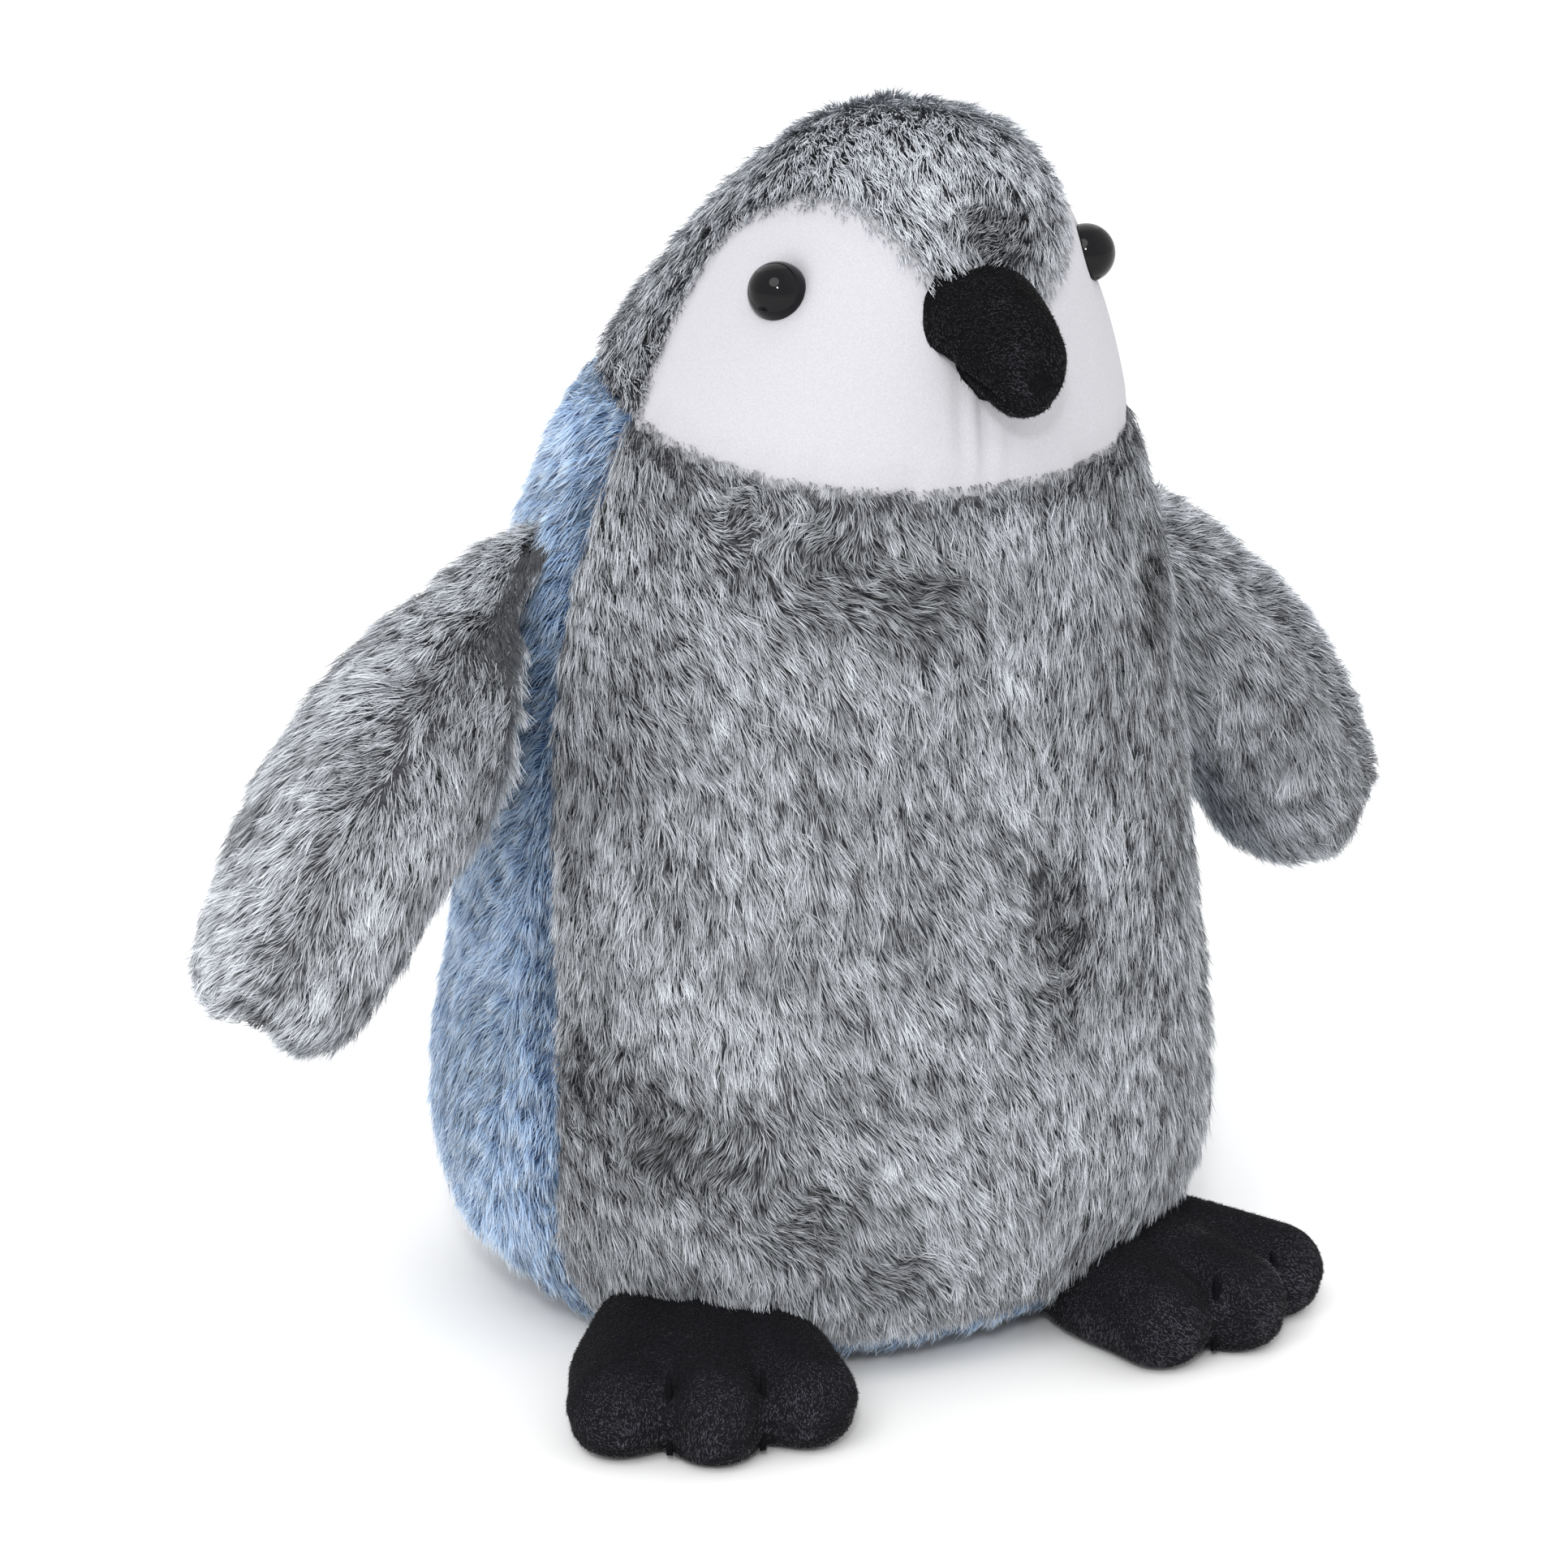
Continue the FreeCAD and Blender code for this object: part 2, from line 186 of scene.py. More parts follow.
class Surface:
    """A ray target made of CAD nodes."""

    def __init__(self, names):
        verts, tris, self.owner = node_arrays(names)
        self.tree = BVHTree.FromPolygons(verts.tolist(), tris.tolist())

    def first_hit(self, start, direction):
        """Where a ray meets the surface, and the index of the node it meets."""
        where, _, index, _ = self.tree.ray_cast(Vector(start), Vector(direction))
        return where, self.owner[index]

    def owners_near(self, points):
        """Index of the node closest to each point."""
        return np.array([self.owner[self.tree.find_nearest(Vector(p))[2]] for p in points])


def noise_field(scale, seed):
    """Smooth random values in -1..1 over space; scale is the size of a bump in metres."""
    size = 32
    lattice = np.random.default_rng(seed).uniform(-1.0, 1.0, (size, size, size))

    def value(p):
        q = np.asarray(p) / scale + 100.0
        low = np.floor(q).astype(int)
        f = smooth(q - low)
        total = np.zeros(len(q))
        for corner in range(8):
            step = np.array([corner & 1, corner >> 1 & 1, corner >> 2 & 1])
            index = (low + step) % size
            weight = np.prod(np.where(step == 1, f, 1.0 - f), axis=1)
            total += weight * lattice[index[:, 0], index[:, 1], index[:, 2]]
        return total * 1.6
    return value


def new_mesh(name, verts, faces, uv=None):
    """A smooth-shaded mesh object from arrays; every face has the same number of sides."""
    mesh = bpy.data.meshes.new(name)
    verts = np.asarray(verts, np.float32)
    faces = np.asarray(faces, np.int32)
    sides = faces.shape[1]
    mesh.vertices.add(len(verts))
    mesh.vertices.foreach_set("co", verts.ravel())
    mesh.loops.add(faces.size)
    mesh.loops.foreach_set("vertex_index", faces.ravel())
    mesh.polygons.add(len(faces))
    mesh.polygons.foreach_set("loop_start", np.arange(0, faces.size, sides, dtype=np.int32))
    mesh.polygons.foreach_set("loop_total", np.full(len(faces), sides, np.int32))
    mesh.update(calc_edges=True)
    if uv is not None:
        layer = mesh.uv_layers.new(name="OFBake")
        layer.data.foreach_set("uv", np.asarray(uv, np.float32)[faces.ravel()].ravel())
    mesh.validate()
    mesh.shade_smooth()
    obj = bpy.data.objects.new(name, mesh)
    bpy.context.scene.collection.objects.link(obj)
    return obj


def grid_quads(rows, columns):
    """Quads of a grid whose columns close on themselves."""
    r = np.arange(rows - 1)[:, None]
    c = np.arange(columns)[None, :]
    right = (c + 1) % columns
    return np.stack([r * columns + c, r * columns + right, (r + 1) * columns + right,
                     (r + 1) * columns + c], -1).reshape(-1, 4)


def grid_normals(points):
    """Normals of a closed grid; they point out when rows run up and columns run counter-clockwise."""
    across = np.roll(points, -1, 1) - np.roll(points, 1, 1)
    along = np.gradient(points, axis=0)
    return unit(np.cross(across, along))


def scatter(points, normals, per_mm2, keep=None):
    """Random points spread evenly over a closed grid surface, and the normals there."""
    columns = points.shape[1]
    nxt = (np.arange(columns) + 1) % columns
    a, b = points[:-1], points[:-1][:, nxt]
    c, d = points[1:][:, nxt], points[1:]
    area = 0.5 * np.linalg.norm(np.cross(c - a, d - b), axis=-1)
    if keep is not None:
        area = area * keep[:-1]
    count = int(area.sum() / MM ** 2 * per_mm2 * (1.0))
    pick = RNG.choice(area.size, count, p=(area / area.sum()).ravel())
    row, column = np.unravel_index(pick, area.shape)
    u, v = RNG.random(count), RNG.random(count)

    def mixed(grid):
        right = nxt[column]
        low = grid[row, column] * (1 - u)[:, None] + grid[row, right] * u[:, None]
        high = grid[row + 1, column] * (1 - u)[:, None] + grid[row + 1, right] * u[:, None]
        return low * (1 - v)[:, None] + high * v[:, None]
    return mixed(points), unit(mixed(normals))


# ------------------------------------------------------------------ strands

def strand_mesh(name, body, material, root, mid, tip, side, normal, tone):
    """Tapered strands of three triangles each, as one or more pieces.

    The pieces ride on the body. With no body named, they are left unattached.
    """
    pieces = []
    total = len(root)
    parts = max(1, math.ceil(total / STRANDS_PER_PIECE))
    for part in range(parts):
        chosen = slice(total * part // parts, total * (part + 1) // parts)
        r, m, t, s, n, shade = (x[chosen] for x in (root, mid, tip, side, normal, tone))
        verts = np.stack([r - s, r + s, m + s * 0.85, m - s * 0.85, t], 1)
        count = len(r)
        base = np.arange(count)[:, None] * 5
        faces = np.concatenate([base + [0, 1, 2], base + [0, 2, 3], base + [3, 2, 4]], 1).reshape(-1, 3)
        u = np.clip(shade, 0.01, 0.99)
        uv = np.empty((count, 5, 2))
        uv[:, :, 0] = u[:, None] + np.array([-0.006, 0.006, 0.006, -0.006, 0.0])
        uv[:, :, 1] = [0.01, 0.01, 0.55, 0.55, 0.99]
        label = name if parts == 1 else "%s_%d" % (name, part + 1)
        piece = new_mesh(label, verts.reshape(-1, 3), faces, uv.reshape(-1, 2))
        vertex_normals = np.repeat(n, 5, axis=0)
        flat = unit(np.cross(verts[:, 1] - verts[:, 0], verts[:, 4] - verts[:, 0]))
        flat *= np.sign((flat * n).sum(1, keepdims=True))
        vertex_normals = unit(vertex_normals * 0.85 + np.repeat(flat, 5, axis=0) * 0.5)
        piece.data.normals_split_custom_set_from_vertices(vertex_normals.tolist())
        piece.data.materials.append(material)
        if body is not None:
            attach(piece, body)
        pieces.append(piece)
    return pieces


def fur(name, body, material, points, normals, comb, seam, pull, upright, length, seed, tone):
    """Long combed pile on places of a surface.

    comb is the way the pile lies, and seam the distance to the nearest seam. pull is how far in
    millimetres a seam pulls the pile down, the share of its height left there, and how much darker
    painted shade makes it there. upright is how far, from 0 to 1, the pile stands away from the
    cloth; standing pile is also darkened by painted shade. tone makes it paler or darker, and
    carries the painted light and shade that the callers give it.
    """
    rng = np.random.default_rng(seed)
    count = len(points)
    clump = noise_field(2.3 * MM, seed + 1)(points)
    clump_side = noise_field(2.8 * MM, seed + 2)(points)
    patch = noise_field(15 * MM, seed + 3)(points)
    wave = noise_field(30 * MM, seed + 4)(points)
    reach_mm, left, dark = pull
    comb = unit(comb - normals * (comb * normals).sum(1, keepdims=True))
    across = np.cross(normals, comb)
    turn = 0.28 * wave + 0.34 * clump_side + rng.normal(0, 0.17, count)
    turn += upright * (1.2 * noise_field(15 * MM, seed + 5)(points) + 0.25 * clump_side)
    lay = comb * np.cos(turn)[:, None] + across * np.sin(turn)[:, None]
    near = smooth(seam / (reach_mm * MM))
    reach = length * MM * (0.85 + 0.15 * clump + rng.uniform(-0.12, 0.12, count)) * (0.55 + 0.45 * near)
    height = FUR_DEPTH * MM * (left + (1.0 - left) * near)
    height *= 0.93 + 0.17 * clump + rng.uniform(-0.16, 0.10, count) + 0.1 * upright
    lie = reach * (0.78 - 0.36 * upright)
    root = points - normals * FUR_DEPTH * MM
    ends = height * rng.uniform(0.86, 1.12, count)
    mid = root + normals * (height * 0.84)[:, None] + lay * (lie * 0.34)[:, None]
    tip = root + normals * ends[:, None] + lay * lie[:, None]
    roll = rng.normal(0, 0.45, count)[:, None]
    side = unit(np.cross(lay, normals) * np.cos(roll) + normals * np.sin(roll)) * (FUR_WIDTH * MM / 2)
    side = side * rng.uniform(0.7, 1.25, count)[:, None]
    # Painted shade: pile that stands up, and pile near a seam, is darkened.
    tone = 0.46 + tone - np.minimum(0.36 * upright + dark * (1.0 - near), 0.55)
    tone += 0.14 * patch + 0.18 * clump + rng.normal(0, 0.18, count)
    strand_mesh(name, body, material, root, mid, tip, side, normals, tone)


def plush(name, body, material, points, normals, comb, seed, tone_light_shade):
    """Short dense pile, made paler or darker by painted light and shade; returns its pieces."""
    rng = np.random.default_rng(seed)
    count = len(points)
    comb = unit(comb - normals * (comb * normals).sum(1, keepdims=True))
    across = np.cross(normals, comb)
    turn = 0.8 * noise_field(9 * MM, seed + 1)(points) + rng.normal(0, 0.35, count)
    lay = comb * np.cos(turn)[:, None] + across * np.sin(turn)[:, None]
    reach = PLUSH_LENGTH * MM * rng.uniform(0.7, 1.15, count)
    root = points - normals * 0.5 * MM
    mid = root + normals * (reach * 0.45)[:, None] + lay * (reach * 0.2)[:, None]
    tip = root + normals * (reach * 0.72)[:, None] + lay * (reach * 0.62)[:, None]
    side = unit(np.cross(lay, normals)) * (PLUSH_WIDTH * MM / 2)
    tone = 0.5 + tone_light_shade + 0.2 * noise_field(4 * MM, seed + 2)(points) + rng.normal(0, 0.08, count)
    return strand_mesh(name, body, material, root, mid, tip, side, normals, tone)


# ------------------------------------------------------------------ materials

def new_material(name):
    """A material with its node tree and its shader."""
    material = bpy.data.materials.new(name)
    material.use_nodes = True
    tree = material.node_tree
    return material, tree, tree.nodes["Principled BSDF"]


def ramp(tree, stops):
    """A colour ramp; stops are (place, (r, g, b))."""
    node = tree.nodes.new("ShaderNodeValToRGB")
    elements = node.color_ramp.elements
    elements[0].position, elements[0].color = stops[0][0], (*stops[0][1], 1)
    elements[1].position, elements[1].color = stops[-1][0], (*stops[-1][1], 1)
    for place, colour in stops[1:-1]:
        elements.new(place).color = (*colour, 1)
    return node


def strand_material(name, along_stops, dark, light, roughness, sheen, gloss=0.35):
    """Pile coloured from root to tip, and darker or paler from strand to strand."""
    material, tree, shader = new_material(name)
    uv = tree.nodes.new("ShaderNodeUVMap")
    uv.uv_map = "OFBake"
    split = tree.nodes.new("ShaderNodeSeparateXYZ")
    along = ramp(tree, along_stops)
    tone = ramp(tree, [(0.0, (dark,) * 3), (0.5, (1.0,) * 3), (1.0, (light,) * 3)])
    mix = tree.nodes.new("ShaderNodeMix")
    mix.data_type = "RGBA"
    mix.blend_type = "MULTIPLY"
    mix.inputs["Factor"].default_value = 1.0
    link = tree.links.new
    link(uv.outputs["UV"], split.inputs[0])
    link(split.outputs["Y"], along.inputs["Fac"])
    link(split.outputs["X"], tone.inputs["Fac"])
    link(along.outputs["Color"], mix.inputs["A"])
    link(tone.outputs["Color"], mix.inputs["B"])
    link(mix.outputs["Result"], shader.inputs["Base Color"])
    shader.inputs["Roughness"].default_value = roughness
    shader.inputs["Sheen Weight"].default_value = sheen
    shader.inputs["Sheen Roughness"].default_value = 0.5
    shader.inputs["Specular IOR Level"].default_value = gloss
    return material


def cloth_material(name, dark, light, scale, bump, sheen, gloss=0.3):
    """Knitted backing or velour: two close shades in a fine noise, with a small bump."""
    material, tree, shader = new_material(name)
    where = tree.nodes.new("ShaderNodeTexCoord")
    noise = tree.nodes.new("ShaderNodeTexNoise")
    noise.inputs["Scale"].default_value = scale
    noise.inputs["Detail"].default_value = 3.0
    shades = ramp(tree, [(0.35, dark), (0.68, light)])
    height = tree.nodes.new("ShaderNodeBump")
    height.inputs["Strength"].default_value = bump
    height.inputs["Distance"].default_value = 0.0004
    link = tree.links.new
    link(where.outputs["Object"], noise.inputs["Vector"])
    link(noise.outputs["Fac"], shades.inputs["Fac"])
    link(shades.outputs["Color"], shader.inputs["Base Color"])
    link(noise.outputs["Fac"], height.inputs["Height"])
    link(height.outputs["Normal"], shader.inputs["Normal"])
    shader.inputs["Roughness"].default_value = 0.9
    shader.inputs["Sheen Weight"].default_value = sheen
    shader.inputs["Specular IOR Level"].default_value = gloss
    return material


def gloss_material(name, colour, roughness):
    """Moulded plastic of one colour."""
    material, _, shader = new_material(name)
    shader.inputs["Base Color"].default_value = (*colour, 1)
    shader.inputs["Roughness"].default_value = roughness
    shader.inputs["Specular IOR Level"].default_value = 0.2
    return material


GREY_FUR = strand_material(
    "grey_fur_pile",
    [(0.0, (0.032, 0.033, 0.038)), (0.38, (0.078, 0.082, 0.091)), (0.66, (0.285, 0.298, 0.318)),
     (1.0, (0.595, 0.62, 0.66))],
    0.22, 1.9, 0.6, 0.1)
BLUE_FUR = strand_material(
    "blue_fur_pile",
    [(0.0, (0.028, 0.062, 0.15)), (0.38, (0.075, 0.145, 0.30)), (0.66, (0.275, 0.39, 0.545)),
     (1.0, (0.61, 0.68, 0.76))],
    0.34, 1.6, 0.6, 0.1)
BLACK_PILE = strand_material(
    "black_plush_pile",
    [(0.0, (0.002, 0.002, 0.0025)), (0.6, (0.028, 0.028, 0.034)), (1.0, (0.078, 0.077, 0.094))],
    0.3, 1.9, 0.85, 0.15, 0.08)
GREY_BACKING = cloth_material("grey_fur_backing", (0.05, 0.05, 0.06), (0.12, 0.12, 0.135), 900, 0.6, 0.0)
BLUE_BACKING = cloth_material("blue_fur_backing", (0.05, 0.09, 0.17), (0.10, 0.17, 0.30), 900, 0.6, 0.0)
VELOUR = cloth_material("white_velour_cloth", (0.475, 0.47, 0.50), (0.53, 0.525, 0.557), 2600, 0.3, 0.1)
BLACK_CLOTH = cloth_material("black_plush_cloth", (0.006, 0.006, 0.0075), (0.013, 0.013, 0.016),
                             1500, 0.5, 0.0, 0.05)
# The beak's cloth is a darker copy of the feet's black plush cloth: painted shade.
BEAK_CLOTH_SHADED = cloth_material("beak_cloth_shaded", (0.0025, 0.0025, 0.003), (0.007, 0.007, 0.008),
                            1500, 0.5, 0.0, 0.05)
EYE = gloss_material("eye_black_gloss", (0.004, 0.004, 0.005), 0.06)
THREAD = cloth_material("sewing_thread", (0.003, 0.003, 0.004), (0.008, 0.008, 0.01), 3000, 0.5, 0.0, 0.05)
BLUE_THREAD = cloth_material("blue_thread", (0.06, 0.12, 0.26), (0.09, 0.17, 0.33), 3000, 0.5, 0.0, 0.05)
HIDDEN = cloth_material("washers_and_filling", (0.72, 0.72, 0.70), (0.82, 0.82, 0.80), 900, 0.6, 0.0, 0.05)


# ------------------------------------------------------------------ body

def nearest(points, targets):
    """Distance from each point to the nearest target, and that target."""
    tree = KDTree(len(targets))
    for index, target in enumerate(targets):
        tree.insert(target, index)
    tree.balance()
    found = [tree.find(p) for p in points]
    return np.array([f[2] for f in found]), np.array([f[0] for f in found]).reshape(-1, 3)


def relaxed(points, times):
    """A closed-column grid smoothed over its neighbours, its first and last rows kept."""
    out = points.copy()
    for _ in range(times):
        inner = (np.roll(out, 1, 1) + np.roll(out, -1, 1))[1:-1] + out[:-2] + out[2:]
        out[1:-1] = 0.5 * out[1:-1] + 0.125 * inner
    return out


class Body:
    """The body's outer surface: a grid of points with normals and the CAD panel at each."""

    COLUMNS = 280

    def __init__(self):
        self.names = FUR_PANELS + CHEEKS
        self.skins = Surface(self.names)
        crown = np.array(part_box("crown_panel"))
        self.head = np.array([crown[:, 0].mean(), HEAD_CENTRE_Y * MM, crown[1, 2] - HEAD_CENTRE_DROP * MM])
        base = np.array([0, 0, BASE_CENTRE_Z * MM])
        around = np.linspace(-math.pi, math.pi, self.COLUMNS, endpoint=False)
        stations = [(base, math.radians(tilt)) for tilt in np.linspace(-88, 0, 26)[:-1]]
        stations += [(base + (self.head - base) * part, 0.0) for part in np.linspace(0, 1, 95)]
        stations += [(self.head, math.radians(tilt)) for tilt in np.linspace(0, 88.5, 40)[1:]]
        self.points = np.zeros((len(stations), len(around), 3))
        self.owner = np.zeros(self.points.shape[:2], int)
        hole = np.zeros(self.points.shape[:2], bool)
        eyes = {}
        for side, edge in (("right", 0), ("left", 1)):
            box = np.array(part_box("eye_" + side))
            eyes[side] = np.array([box[edge, 0], box[0, 1] + EYE_DEPTH * MM, box[:, 2].mean()])
        for i, (centre, tilt) in enumerate(stations):
            for j, angle in enumerate(around):
                out = np.array([math.sin(angle) * math.cos(tilt), -math.cos(angle) * math.cos(tilt),
                                math.sin(tilt)])
                self.points[i, j], self.owner[i, j] = self.skins.first_hit(centre + out * 0.4, -out)
                for side, eye in eyes.items():
                    reach = eye - centre
                    along = reach @ out
                    if along > 0 and np.linalg.norm(reach - along * out) < EYE_HOLE * MM:
                        hole[i, j] = True
                        self.points[i, j] = centre + out * along * 0.96
                        self.owner[i, j] = self.names.index("cheek_" + side)
        for _ in range(150):
            self.points = np.where(hole[..., None], relaxed(self.points, 1), self.points)
        normals = grid_normals(relaxed(self.points, 6))
        white = self.panel(*CHEEKS)
        self.points += normals * (white * VELOUR_STEP * MM)[..., None]
        self.smooth = relaxed(self.points, 8)
        self.normals = grid_normals(self.smooth)

    def panel(self, *names):
        """Where the grid belongs to these panels."""
        return np.isin(self.owner, [self.names.index(name) for name in names])

    def seams(self, *names):
        """Places where these panels meet any other, halfway between grid points."""
        mine = self.panel(*names)
        found = []
        wrapped = np.roll(self.points, -1, 1)
        edge = (self.owner != np.roll(self.owner, -1, 1)) & (mine | np.roll(mine, -1, 1))
        found.append(0.5 * (self.points + wrapped)[edge])
        edge = (self.owner[:-1] != self.owner[1:]) & (mine[:-1] | mine[1:])
        found.append(0.5 * (self.points[:-1] + self.points[1:])[edge])
        return np.concatenate(found)

    def grow(self, mask, steps):
        """The mask and its neighbours out to some steps, with how many steps away each one is."""
        away = np.where(mask, 0, steps + 1)
        for step in range(1, steps + 1):
            reached = away < steps + 1
            spread = reached | np.roll(reached, 1, 1) | np.roll(reached, -1, 1)
            spread[1:] |= reached[:-1]
            spread[:-1] |= reached[1:]
            away[spread & ~reached] = step
        return away

    def sheet(self, name, mask, depth, material, slot, steps):
        """A skin made of the grid's cells in the mask and a rim round it, each point at its depth."""
        away = self.grow(mask, steps)
        shape = self.smooth - self.normals * (depth * MM)[..., None]
        shape[..., 2] = np.maximum(shape[..., 2], FLOOR_GAP * MM)
        quads = grid_quads(*mask.shape)
        quads = quads[(away <= steps).ravel()[quads].all(1)]
        used, packed = np.unique(quads, return_inverse=True)
        sheet = new_mesh(name, shape.reshape(-1, 3)[used], packed.reshape(-1, 4))
        sheet.data.materials.append(material)
        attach(sheet, "root")
        return sheet


def fall(normals):
    """Straight down along the surface."""
    down = np.tile([0.0, 0.0, -1.0], (len(normals), 1))
    return unit(down - normals * (down * normals).sum(1, keepdims=True))


def near_places(points, places):
    """How near, 0 to 1, each point is to the closest of some (centre, radius) places."""
    best = np.zeros(len(points))
    for centre, radius in places:
        away = np.linalg.norm(points - np.array(centre) * MM, axis=1) / (radius * MM)
        best = np.maximum(best, smooth(1.0 - away))
    return best


# (x, y, z) and radius in millimetres of the swirls where the pile stands up and is darkened by painted shade
WHORLS = [((-40, -60, 187), 24), ((-56, -48, 194), 18), ((-25, -67, 180), 20), ((-84, -28, 74), 20),
          ((-77, -46, 62), 23), ((-66, -59, 56), 23), ((-54, -68, 46), 20), ((8, -79, 114), 14),
          ((8, -80, 101), 16), ((6, -80, 90), 15), ((-38, -76, 32), 17), ((62, -52, 72), 20),
          ((48, -56, 168), 18)]

# How each panel's pile behaves: (seam reach, share of height left at the seam, painted seam
# shade there), length in millimetres, tone and cloth.
PANEL_PILE = {
    "front_panel": ((5.0, 0.62, 0.22), FUR_LENGTH, 0.06, "grey_fur"),
    "crown_panel": ((7.0, 0.74, 0.42), 8.0, 0.52, "grey_fur"),
    "back_panel_right": ((9.0, 0.48, 0.34), 10.0, 0.22, "blue_fur"),
    "back_panel_left": ((9.0, 0.48, 0.34), 10.0, 0.22, "blue_fur"),
    "base_panel": ((4.0, 0.7, 0.0), 7.0, 0.0, "blue_fur"),
}


def dress_body(body):
    """Backings, cheeks and pile of everything on the root body but the beak."""
    panels = np.array(body.names)
    backing = np.full(body.owner.shape, SKIN_DEPTH)
    front = body.panel("front_panel", "crown_panel")
    back = body.panel("back_panel_right", "back_panel_left", "base_panel")
    rim = smooth(body.grow(front, 2) / 2.0)
    grey = body.sheet("grey_backing", front, backing + 1.5 * rim, GREY_BACKING, "grey_fur", 2)
    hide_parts("front_panel", "crown_panel")
    rim = smooth(body.grow(back, 2) / 2.0)
    blue = body.sheet("blue_backing", back, backing + 1.5 * rim, BLUE_BACKING, "blue_fur", 2)
    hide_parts("back_panel_right", "back_panel_left", "base_panel")
    dress_cheeks(body)

    points, normals = scatter(body.smooth, body.normals, FUR_PER_MM2)
    owner = panels[body.skins.owners_near(points)]
    lifted = points[:, 2] > BARE_BELOW * MM
    for name, (pull, length, tone_light_shade, slot) in PANEL_PILE.items():
        mine = (owner == name) & lifted
        p, n = points[mine], normals[mine]
        seam, _ = nearest(p, body.seams(name))
        stand = np.zeros(len(p))
        if name == "front_panel":
            stand = near_places(p, WHORLS)
        if name == "crown_panel":
            # Above the beak the pile stands up and is darkened by painted shade.
            beak = np.array(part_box("beak_top"))
            brow_shade_centre = np.array([beak[:, 0].mean(), beak[1, 1], beak[1, 2]]) / MM + BROW_SHADE_PLACE
            stand = near_places(p, [(brow_shade_centre, BROW_SHADE_RADIUS)])
            # Painted light: the crown's top, above 258 mm, is made paler.
            tone_light_shade = tone_light_shade - 0.75 * stand + 0.3 * smooth((p[:, 2] / MM - 258.0) / 12.0)
        material = GREY_FUR if slot == "grey_fur" else BLUE_FUR
        fur("fur_" + name, "root", material, p, n, body_comb(name, p, n), seam, pull, stand, length,
            seed=11 + FUR_PANELS.index(name) * 10, tone=tone_light_shade)


def body_comb(name, p, n):
    """The way the pile lies: down, and toward the front's centre line or round to the back."""
    comb = fall(n)
    sideways = np.cross(n, comb)
    toward = np.sign(sideways[:, 0])[:, None] * sideways
    lean = np.zeros(len(p))
    if name == "front_panel":
        lean = -0.42 * np.tanh(p[:, 0] / (25 * MM))
    if name.startswith("back_panel"):
        lean = -0.3 * np.tanh(p[:, 0] / (25 * MM))
    if name == "crown_panel":
        comb = np.tile(CROWN_COMB, (len(p), 1))
    return comb + toward * lean[:, None]


def dress_cheeks(body):
    """White velour, sewn down at its rim, sinking under the fur and gathered under the beak."""
    cheeks = body.panel(*CHEEKS)
    seams = body.seams(*CHEEKS)
    middle_seam = np.abs(seams[:, 0] - body.head[0]) < 6 * MM
    seams = seams[~(middle_seam & (seams[:, 2] < body.head[2]) & (seams[:, 1] < -45 * MM)
                    & (seams[:, 2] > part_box("front_panel")[1].z - 12 * MM))]
    away = body.grow(cheeks, VELOUR_GROW)
    close = away <= VELOUR_GROW
    distance = np.full(cheeks.shape, 30.0)
    distance[close] = nearest(body.smooth[close], seams)[0] / MM
    outside = np.where(cheeks, 0.0, distance)
    inside = np.where(cheeks, distance, 0.0)
    depth = VELOUR_STEP + SEAM_DIP * (1.0 - smooth(inside / 6.0)) + SINK * smooth(outside / 5.0)
    beak = np.array(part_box("beak_under"))
    x = (body.smooth[..., 0] - beak[:, 0].mean()) / MM
    below = (beak[0, 2] - body.smooth[..., 2]) / MM
    gather = np.exp(-(below / 12.0) ** 2) * (body.smooth[..., 1] < -30 * MM) * cheeks
    pucker = 2.0 * np.exp(-((x + 5.0) / 1.7) ** 2) + 0.9 * np.exp(-((x - 1.5) / 1.8) ** 2)
    pucker += 0.9 * np.exp(-((x + 11.0) / 2.0) ** 2)
    white = body.sheet("white_cheeks", cheeks, depth + gather * pucker, VELOUR, "white_velour", 6)
    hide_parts(*CHEEKS)


# ------------------------------------------------------------------ wings

def wing_grid(side):
    """The wing's outer surface as rings from inside the shoulder to the tip.

    Returns the CAD panels' names, the rings, the panel at each point, the hinge's place, the
    direction along the wing, and the panels' surface.
    """
    names = ["wing_%s_outer" % side, "wing_%s_inner" % side]
    surface = Surface(names)
    verts, _, _ = node_arrays(names)
    pivot = np.array(JOINTS["wing_%s_lift" % side]["pos_m"])
    tip = verts[np.argmax(np.linalg.norm(verts - pivot, axis=1))]
    axis = unit(tip - pivot)
    along = (verts - pivot) @ axis
    start, end = along.min(), along.max()
    chord = unit(np.array([0.0, -1.0, 0.0]) - axis * -axis[1])
    depth = np.cross(axis, chord)
    around = np.linspace(-math.pi, math.pi, WING_COLUMNS, endpoint=False)
    first, last = start + WING_ROOT_TRIM * MM, end - WING_TIP_RADIUS * MM
    middles = []
    for station in np.linspace(first, last, WING_RINGS):
        slab = np.abs(along - station) < WING_SLAB * MM
        middle = 0.5 * (verts[slab].min(0) + verts[slab].max(0))
        middles.append(middle + axis * (station - (middle - pivot) @ axis))
    stations = [(middle, 0.0) for middle in middles]
    stations += [(middles[-1], math.radians(tilt)) for tilt in np.linspace(0, 88, 16)[1:]]
    rows = np.zeros((len(stations), WING_COLUMNS, 3))
    owners = np.zeros((len(stations), WING_COLUMNS), int)
    for i, (centre, tilt) in enumerate(stations):
        for j, angle in enumerate(around):
            out = (chord * math.cos(angle) + depth * math.sin(angle)) * math.cos(tilt) + axis * math.sin(tilt)
            rows[i, j], owners[i, j] = surface.first_hit(centre + out * 0.12, -out)
    middle = rows[0].mean(0)
    inside = unit(np.array([-pivot[0], 0.0, 0.12 * abs(pivot[0])]))
    inward = [middle + (rows[0] - middle) * part + (inside * deep - axis * back) * MM
              for deep, back, part in WING_INWARD]
    rows = np.concatenate([np.array(inward), rows])
    owners = np.concatenate([np.repeat(owners[:1], len(inward), 0), owners])
    return names, rows, owners, pivot, axis, surface


